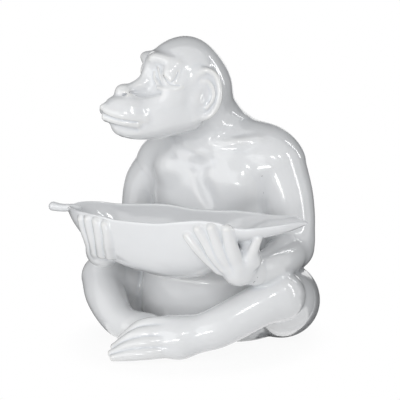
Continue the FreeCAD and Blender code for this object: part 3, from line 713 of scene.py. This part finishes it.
# %% [markdown]
# ## Back onto the surface
#
# The net is only as exact as its grid. Each outer vertex is moved along the field's slope until the
# field is zero there, and the slope itself becomes the vertex's normal. So the shading is that of
# the formula and not of the facets, and it runs on across the borders between parts. The second
# difference of the field tells how hollow the surface is, which the glaze uses later.

# %% Settle the vertices
def slope_of(points, step=0.35):
    """Half the difference of the field a step each way along X, Y and Z, and its hollowness: the
    sum of the six neighbours less six times the middle, over the step squared."""
    middle = casting(points)
    sides = [[casting(points + way * step * unit) for way in (1, -1)] for unit in np.eye(3)]
    slope = np.stack([(ahead - behind) / (2 * step) for ahead, behind in sides], 1)
    bend = (sum(ahead + behind for ahead, behind in sides) - 6 * middle) / step ** 2
    return np.column_stack([middle, slope, bend])


SHADE_STEP = 1.2  # a wider step for the normals, so that they leave out what is under a millimetre
POOL_GAIN = 3.0   # brings the hollowness to about -1 on sharp ridges and 1 in narrow grooves
clock = time.time()
outer = spots[on_skin]
for again in range(2):
    data = in_chunks(slope_of, outer)
    length = np.linalg.norm(data[:, 1:4], axis=1) + 1e-6
    move = np.clip(data[:, 0] / length, -PITCH, PITCH)
    outer = outer - data[:, 1:4] / length[:, None] * move[:, None]
data = in_chunks(lambda p: slope_of(p, SHADE_STEP), outer)
spots[on_skin] = outer
normals = np.zeros_like(spots)
normals[:, 2] = 1
normals[on_skin] = data[:, 1:4] / np.linalg.norm(data[:, 1:4], axis=1)[:, None]
pool = np.zeros(len(spots))
pool[on_skin] = np.clip(-data[:, 4] * POOL_GAIN, -1, 1)
print("settled", len(outer), "vertices in %.1f s" % (time.time() - clock))


# %% [markdown]
# ## The finish
#
# The photograph shows a cool white glaze, thick and very glossy. Under its clear top coat the white
# is a little rough. It gathers in grooves, where it looks a little deeper and bluer, and it is thin
# and faintly warm on ridges. The surface isn't optically flat: a slow waviness bends the
# reflections of the lamps, and a much finer one breaks up their edges.

# %% Glaze material
def node(tree, kind, **settings):
    """A new node; a setting that names an input sets that, and any other sets the node itself."""
    made = tree.nodes.new(kind)
    for name, value in settings.items():
        if name in made.inputs.keys():
            made.inputs[name].default_value = value
        else:
            setattr(made, name, value)
    return made


GLAZE_TINTS = [  # on ridges, on level ground and in grooves
    (0.0, (0.815, 0.812, 0.800)), (0.46, (0.800, 0.806, 0.815)), (1.0, (0.73, 0.75, 0.775))]


def make_glaze():
    """Tint by hollowness times faint clouds, uneven roughness, and slow waves under a fine peel."""
    material = bpy.data.materials.new("white glaze")
    material.use_nodes = True
    tree = material.node_tree
    shader, link = tree.nodes["Principled BSDF"], tree.links.new
    place = node(tree, "ShaderNodeTexCoord").outputs["Object"]
    gathered = node(tree, "ShaderNodeAttribute", attribute_name="pool").outputs["Fac"]

    tint = tree.nodes.new("ShaderNodeValToRGB")
    tint.color_ramp.elements.new(0.5)
    for stop, (where, colour) in zip(tint.color_ramp.elements, GLAZE_TINTS):
        stop.position, stop.color = where, (*colour, 1)
    middle = node(tree, "ShaderNodeMapRange", **{"From Min": -1.0, "From Max": 1.0})
    link(gathered, middle.inputs["Value"])
    link(middle.outputs["Result"], tint.inputs["Fac"])

    cloud = node(tree, "ShaderNodeTexNoise", Scale=14.0, Detail=3.0, Roughness=0.55)
    link(place, cloud.inputs["Vector"])
    soft = node(tree, "ShaderNodeMapRange", **{"From Min": 0.3, "From Max": 0.7, "To Min": 0.965,
                                               "To Max": 1.0})
    link(cloud.outputs["Fac"], soft.inputs["Value"])
    shade = node(tree, "ShaderNodeMix", data_type="RGBA", blend_type="MULTIPLY")
    shade.inputs["Factor"].default_value = 1.0
    link(tint.outputs["Color"], shade.inputs["A"])
    link(soft.outputs["Result"], shade.inputs["B"])
    link(shade.outputs["Result"], shader.inputs["Base Color"])

    wave = node(tree, "ShaderNodeTexNoise", Scale=32.0, Detail=1.5, Roughness=0.4)
    peel = node(tree, "ShaderNodeTexNoise", Scale=420.0, Detail=1.0, Roughness=0.5)
    for texture in (wave, peel):
        link(place, texture.inputs["Vector"])
    slow = node(tree, "ShaderNodeBump", Strength=0.16, Distance=0.004)
    fine = node(tree, "ShaderNodeBump", Strength=0.05, Distance=0.0004)
    link(wave.outputs["Fac"], slow.inputs["Height"])
    link(peel.outputs["Fac"], fine.inputs["Height"])
    link(slow.outputs["Normal"], fine.inputs["Normal"])
    link(fine.outputs["Normal"], shader.inputs["Normal"])
    link(slow.outputs["Normal"], shader.inputs["Coat Normal"])

    uneven = node(tree, "ShaderNodeMapRange", **{"From Min": 0.3, "From Max": 0.7, "To Min": 0.13,
                                                 "To Max": 0.24})
    link(cloud.outputs["Fac"], uneven.inputs["Value"])
    link(uneven.outputs["Result"], shader.inputs["Roughness"])
    shader.inputs["IOR"].default_value = 1.5
    shader.inputs["Coat Weight"].default_value = 0.85
    shader.inputs["Coat Roughness"].default_value = 0.035
    return material


glaze = make_glaze()
print("glaze nodes:", len(glaze.node_tree.nodes))

# %% [markdown]
# ## Parts into Blender
#
# Every part becomes an object of its own at the origin, with its place in its mesh, and stands for
# the solid of the same name. `pool` goes along as an attribute on the vertices. A border between
# two parts has a face of each, so every mesh is closed by itself.

# %% Parts as objects
def mesh_from(name, points, faces):
    """Points in millimetres and faces with equal corners, written in one go."""
    mesh = bpy.data.meshes.new(name)
    mesh.vertices.add(len(points))
    mesh.vertices.foreach_set("co", (points / 1000).ravel())
    mesh.loops.add(faces.size)
    mesh.loops.foreach_set("vertex_index", faces.ravel())
    mesh.polygons.add(len(faces))
    mesh.polygons.foreach_set("loop_start", np.arange(len(faces)) * faces.shape[1])
    mesh.polygons.foreach_set("use_smooth", np.ones(len(faces), bool))
    mesh.update(calc_edges=True)
    return mesh


def add_piece(name, mesh, node, hollow):
    """An object for the mesh, riding on the body, in place of its solid, under the glaze."""
    values = mesh.attributes.new("pool", "FLOAT", "POINT")
    values.data.foreach_set("value", hollow.astype(np.float32))
    piece = bpy.data.objects.new(name, mesh)
    bpy.context.scene.collection.objects.link(piece)
    mesh.materials.append(glaze)
    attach(piece, "root")
    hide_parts(node)
    return piece


for number, name in enumerate(PARTS, 1):
    mine = np.vstack([faces[owners[:, 0] == number], faces[owners[:, 1] == number][:, ::-1]])
    used, ring = np.unique(mine, return_inverse=True)
    mesh = mesh_from(name + "_skin", spots[used], ring.reshape(mine.shape))
    mesh.normals_split_custom_set_from_vertices(normals[used].tolist())
    add_piece(name + "_skin", mesh, name, pool[used])
    print("%-16s %6d faces" % (name, len(mine)))


# %% [markdown]
# ## The leaf as a surface
#
# Along the leaf goes `u`, and round its section goes `v`: down the near side and up the far side on
# the outside, over the far lip, back along the inside, and over the near lip. The inside is the
# outside moved in along its normal by the wall, which is thinner at the lip. Both tips are rounded
# off to a point.

# %% Leaf surface
def leaf_sections(places, around):
    """Outer points: across is cos to the power 1/1.1, down is sin, from the near to the far rim."""
    wide, deep, near, far = [row[:, None] for row in leaf_at(places).T]
    c, s = np.cos(around)[None], np.sin(around)[None]
    across = -np.sign(c) * np.abs(c) ** (1 / 1.1)
    rim = near + (far - near) * (0.5 + 0.5 * across)
    lengthways = np.broadcast_to(places[:, None], (len(places), len(around)))
    return np.stack([lengthways, LEAF_LINE + wide * across, rim - deep * s], -1)


def closed_leaf(count_along, count_around, lip=5, tip=6):
    """Ring after ring of outer wall, far lip, inner wall and near lip, then both ends."""
    first, last = LEAF[0, 0], LEAF[-1, 0]
    ease = np.linspace(0, np.pi, count_along)
    places = (first + last) / 2 - np.cos(ease) * (last - first) / 2
    around = np.linspace(0, np.pi, count_around)
    outside = leaf_sections(places, around)
    lengthways, round_about = np.gradient(outside, axis=0), np.gradient(outside, axis=1)
    out = np.cross(round_about, lengthways)
    out /= np.linalg.norm(out, axis=2)[..., None] + 1e-9
    wide = leaf_at(places)[:, 0]
    wall = np.minimum(LEAF_WALL * (0.7 + 0.3 * np.sin(around)[None]), 0.42 * wide[:, None])
    inside = outside - out * wall[..., None]
    turn = np.linspace(0, np.pi, lip + 2)[1:-1][None, :, None]
    lips = []
    for first, last in ((outside[:, -1:], inside[:, -1:]), (inside[:, :1], outside[:, :1])):
        middle, half = (first + last) / 2, (first - last) / 2
        up = np.zeros_like(half)
        up[..., 2] = np.linalg.norm(half, axis=2)
        lips.append(middle + half * np.cos(turn) + up * np.sin(turn))
    rings = np.concatenate([outside, lips[0], inside[:, ::-1], lips[1]], 1)
    return close_ends(rings, 2.4, tip)


def close_ends(rings, reach, steps):
    """More rings past each end, shrunk by cos and moved on by sin, and one point to shut it."""
    turn = np.linspace(0, np.pi / 2, steps + 1)[1:-1][:, None, None]
    ends = []
    for edge, sign in ((0, -1), (-1, 1)):
        middle = rings[edge].mean(0)
        shift = np.array([sign * reach, 0, 0])
        more = middle + (rings[edge][None] - middle) * np.cos(turn) + shift * np.sin(turn)
        ends.append((more[::-1] if sign < 0 else more, middle + shift))
    rings = np.concatenate([ends[0][0], rings, ends[1][0]])
    rows, columns = rings.shape[:2]
    index = np.arange(rows * columns).reshape(rows, columns)
    after = np.roll(index, -1, 1)
    quads = np.stack([index[:-1], index[1:], after[1:], after[:-1]], -1).reshape(-1, 4)
    points = np.vstack([rings.reshape(-1, 3), ends[0][1], ends[1][1]])
    first = np.stack([np.full(columns, rows * columns), index[0], after[0]], 1)
    last = np.stack([np.full(columns, rows * columns + 1), after[-1], index[-1]], 1)
    return points, quads.tolist() + first.tolist() + last.tolist()


# %% Leaf object
def outward(mesh):
    """Turn the faces over if the volume they enclose comes out negative, and give its size."""
    triangles = np.zeros(len(mesh.loop_triangles) * 3, int)
    mesh.loop_triangles.foreach_get("vertices", triangles)
    corners = np.zeros(len(mesh.vertices) * 3)
    mesh.vertices.foreach_get("co", corners)
    a, b, c = np.moveaxis(corners.reshape(-1, 3)[triangles.reshape(-1, 3)], 1, 0)
    volume = (a * np.cross(b, c)).sum() / 6
    if volume < 0:
        mesh.flip_normals()
    return abs(volume)


def add_surface(node, points, faces):
    """A smooth closed piece from points in millimetres and faces of three or four corners."""
    mesh = bpy.data.meshes.new(node + "_skin")
    mesh.from_pydata((points / 1000).tolist(), [], faces)
    mesh.shade_smooth()
    mesh.calc_loop_triangles()
    volume = outward(mesh) * 1e6
    add_piece(node + "_skin", mesh, node, np.zeros(len(points)))
    print("%s: %d faces round %.1f cm3 of clay" % (node, len(faces), volume))


add_surface("leaf_dish", *closed_leaf(220, 90))


# %% [markdown]
# ## The stalk
#
# A round bar along a short curve, a little thicker at its cut end.

# %% Stalk object
def tube(rows, steps, sides):
    """Circles of the row's radius round each point, square to the curve, with rounded ends."""
    knots = along(rows, np.linspace(0, len(rows) - 1, steps))[0]
    way = np.gradient(knots[:, :3], axis=0)
    way /= np.linalg.norm(way, axis=1)[:, None]
    side = np.cross(way, (0, 0, 1.0))
    side /= np.linalg.norm(side, axis=1)[:, None]
    up = np.cross(side, way)
    angle = np.linspace(0, 2 * np.pi, sides, endpoint=False)[None, :, None]
    rings = (knots[:, None, :3] + knots[:, None, 3:] * (side[:, None] * np.cos(angle)
                                                       + up[:, None] * np.sin(angle)))
    return close_ends(rings[::-1], knots[-1, 3], 7)


STALK = [(-134, -107, 163, 5.2), (-146, -107.3, 162.2, 4.8), (-158, -107.8, 161.6, 5.0),
         (-168.5, -108.5, 162.6, 5.7)]
add_surface("leaf_stalk", *tube(STALK, 40, 40))

# %% [markdown]
# ## Floor and backdrop
#
# The photograph has a white ground that runs on without a horizon and hardly a shadow. The floor is
# a wide round sheet. Near the figure a little of its own shading shows, which keeps a faint shadow.
# Farther out, for the camera and for reflections, it gives white by itself, and so does the world
# behind it.

# %% Floor
def floor_mesh(radius, rings, sides):
    """Rings of radius times the square of the share, closed by one point in the middle."""
    share = np.linspace(0, 1, rings + 1)[1:] ** 2
    angle = np.linspace(0, 2 * np.pi, sides, endpoint=False)
    flat = np.stack([np.outer(share, np.cos(angle)), np.outer(share, np.sin(angle))], -1) * radius
    points = np.vstack([[0, 0, 0], np.pad(flat.reshape(-1, 2), ((0, 0), (0, 1)))])
    index = np.arange(rings * sides).reshape(rings, sides) + 1
    after = np.roll(index, -1, 1)
    quads = np.stack([index[:-1], index[1:], after[1:], after[:-1]], -1).reshape(-1, 4)
    fan = np.stack([np.zeros(sides, int), index[0], after[0]], 1)
    mesh = bpy.data.meshes.new("floor")
    mesh.from_pydata((points / 1000).tolist(), [], quads.tolist() + fan.tolist())
    return mesh


def seen_straight(tree):
    """1 for a ray from the camera, off a gloss or through glass, 0 for one that carries light."""
    path = node(tree, "ShaderNodeLightPath")
    level = path.outputs["Is Camera Ray"]
    for name in ("Is Glossy Ray", "Is Transmission Ray"):
        either = node(tree, "ShaderNodeMath", operation="MAXIMUM")
        tree.links.new(level, either.inputs[0])
        tree.links.new(path.outputs[name], either.inputs[1])
        level = either.outputs[0]
    return level


def make_floor_finish():
    """Plain white under the figure, and white by itself outside an oval round it."""
    material = bpy.data.materials.new("white floor")
    material.use_nodes = True
    tree = material.node_tree
    shader, link = tree.nodes["Principled BSDF"], tree.links.new
    shader.inputs["Base Color"].default_value = (0.93, 0.93, 0.93, 1)
    shader.inputs["Roughness"].default_value = 0.9
    shader.inputs["Specular IOR Level"].default_value = 0.1
    place = node(tree, "ShaderNodeTexCoord").outputs["Object"]
    oval = node(tree, "ShaderNodeMapping")
    oval.inputs["Location"].default_value = (0.0, 0.27, 0.0)
    oval.inputs["Scale"].default_value = (6.6, 5.9, 1.0)
    away = node(tree, "ShaderNodeVectorMath", operation="LENGTH")
    link(place, oval.inputs["Vector"])
    link(oval.outputs["Vector"], away.inputs[0])
    share = node(tree, "ShaderNodeMapRange", interpolation_type="SMOOTHSTEP",
                 **{"From Min": 0.8, "From Max": 1.15, "To Min": 0.93})
    link(away.outputs["Value"], share.inputs["Value"])
    factor = node(tree, "ShaderNodeMath", operation="MULTIPLY")
    link(share.outputs["Result"], factor.inputs[0])
    link(seen_straight(tree), factor.inputs[1])
    white = node(tree, "ShaderNodeEmission", Color=(1, 1, 1, 1), Strength=1.0)
    blend = node(tree, "ShaderNodeMixShader")
    link(factor.outputs[0], blend.inputs["Fac"])
    link(shader.outputs["BSDF"], blend.inputs[1])
    link(white.outputs["Emission"], blend.inputs[2])
    link(blend.outputs["Shader"], tree.nodes["Material Output"].inputs["Surface"])
    return material


floor = bpy.data.objects.new("floor", floor_mesh(12000, 60, 96))
bpy.context.scene.collection.objects.link(floor)
floor.data.materials.append(make_floor_finish())
print("floor faces:", len(floor.data.polygons))

# %% World
def make_world():
    """A cool even light for the object, and plain white wherever the world itself is seen."""
    world = bpy.data.worlds.new("studio")
    world.use_nodes = True
    tree = world.node_tree
    link = tree.links.new
    ambient = tree.nodes["Background"]
    ambient.inputs["Color"].default_value = (0.97, 0.985, 1.0, 1)
    ambient.inputs["Strength"].default_value = 0.56
    white = node(tree, "ShaderNodeBackground", Color=(1, 1, 1, 1), Strength=1.0)
    blend = node(tree, "ShaderNodeMixShader")
    link(seen_straight(tree), blend.inputs["Fac"])
    link(ambient.outputs["Background"], blend.inputs[1])
    link(white.outputs["Background"], blend.inputs[2])
    link(blend.outputs["Shader"], tree.nodes["World Output"].inputs["Surface"])
    return world


bpy.context.scene.world = make_world()
print("world nodes:", len(bpy.context.scene.world.node_tree.nodes))

# %% [markdown]
# ## Lamps
#
# A large soft lamp stands at the camera's left, and a small low one lights the belly under the
# leaf. Two small ones over the camera make the window-like lights on chest and muzzle, and two tall
# narrow ones at the right draw the long bright lines down the arm and the back. Those two are only
# mirrored: they would otherwise make the right side as light as the left.

# %% Lamps
AROUND, ABOVE = math.radians(27), math.radians(9)  # where the camera stands
aside = Vector((math.cos(AROUND), math.sin(AROUND), 0))
onward = Vector((-math.sin(AROUND), math.cos(AROUND), 0))


def spot(right_hand, away, height):
    """A place by its way to the camera's right, away from the camera and up, in metres."""
    return aside * right_hand + onward * away + Vector((0, -0.04, height))


def lamp(name, place, size, power, aim=(0, -0.04, 0.19), only_mirrored=False):
    """A flat rectangular lamp of so many watts, turned to the aim."""
    light = bpy.data.lights.new(name, "AREA")
    light.shape = "RECTANGLE"
    light.size, light.size_y = size
    light.energy = power
    holder = bpy.data.objects.new(name, light)
    bpy.context.scene.collection.objects.link(holder)
    holder.location = place
    holder.visible_diffuse = not only_mirrored
    holder.rotation_euler = (Vector(aim) - Vector(place)).to_track_quat("-Z", "Y").to_euler()
    return holder


lamp("soft lamp", spot(-1.15, -1.2, 0.42), (1.8, 1.5), 10)
lamp("low lamp", spot(-0.3, -1.3, 0.1), (0.3, 0.14), 1.2, (0, -0.1, 0.06))
lamp("window lamp", spot(0.12, -1.5, 0.95), (0.2, 0.22), 2.2)
lamp("second lamp", spot(0.55, -1.2, 1.05), (0.1, 0.2), 0.8)
lamp("strip lamp", spot(0.5, -0.25, 0.35), (0.04, 0.5), 0.6, only_mirrored=True)
lamp("edge lamp", spot(0.44, 0.12, 0.4), (0.025, 0.8), 0.5, only_mirrored=True)
print("lamps:", [item.name for item in bpy.data.lights])

# %% [markdown]
# ## Dark cards
#
# A white thing on white would lose its outline. Photographers stand dark cards just outside the
# frame, and its edges mirror them and turn grey. Here there is one at each side, one overhead, and
# one flat on the table behind the figure, because the low edges mirror the table. They are seen in
# reflections only, and take no light away.

# %% Cards
card_finish = bpy.data.materials.new("dark card")
card_finish.use_nodes = True
card_shader = card_finish.node_tree.nodes["Principled BSDF"]
card_shader.inputs["Base Color"].default_value = (0.05, 0.05, 0.055, 1)
card_shader.inputs["Roughness"].default_value = 0.9


def card(name, corners):
    """A flat sheet with four corners."""
    mesh = bpy.data.meshes.new(name)
    mesh.from_pydata([tuple(corner) for corner in corners], [], [(0, 1, 2, 3)])
    mesh.materials.append(card_finish)
    item = bpy.data.objects.new(name, mesh)
    bpy.context.scene.collection.objects.link(item)
    item.visible_camera = item.visible_diffuse = item.visible_shadow = False


def square(low, high):
    """The four corners of the rectangle between two opposite ones."""
    return [(low[0], low[1]), (high[0], low[1]), (high[0], high[1]), (low[0], high[1])]


for name, way in (("left card", -0.5), ("right card", 0.48)):
    card(name, [spot(way, near, height) for near, height in square((0.05, 0.02), (1.0, 0.7))])
card("top card", [spot(way, near, 0.62) for way, near in square((-0.5, 0.0), (0.5, 0.9))])
card("low card", [spot(way, near, 0.003) for way, near in square((-0.8, -0.02), (0.8, 1.3))])

# %% [markdown]
# ## Camera
#
# The camera stands 27 degrees to the figure's left and 9 degrees above the table, 1.7 m away, and
# looks along the direction below. Its shift only moves the frame down a little.

# %% Camera
TARGET = Vector((0, -40, 190))
DISTANCE, PIXELS_PER_MM, FRAME, SENSOR, SINK = 1700, 0.82, 400, 36, 14
ahead = onward * math.cos(ABOVE) - Vector((0, 0, math.sin(ABOVE)))
upward = aside.cross(ahead)
camera = bpy.data.objects.new("camera", bpy.data.cameras.new("camera"))
bpy.context.scene.collection.objects.link(camera)
bpy.context.scene.camera = camera
camera.matrix_world = Matrix((aside, upward, -ahead)).transposed().to_4x4()
camera.location = (TARGET - ahead * DISTANCE) / 1000
camera.data.sensor_width = SENSOR
camera.data.lens = SENSOR * PIXELS_PER_MM * DISTANCE / FRAME
camera.data.shift_y = -SINK / FRAME
bpy.context.scene.view_settings.view_transform = "Standard"
print("lens %.1f mm" % camera.data.lens)
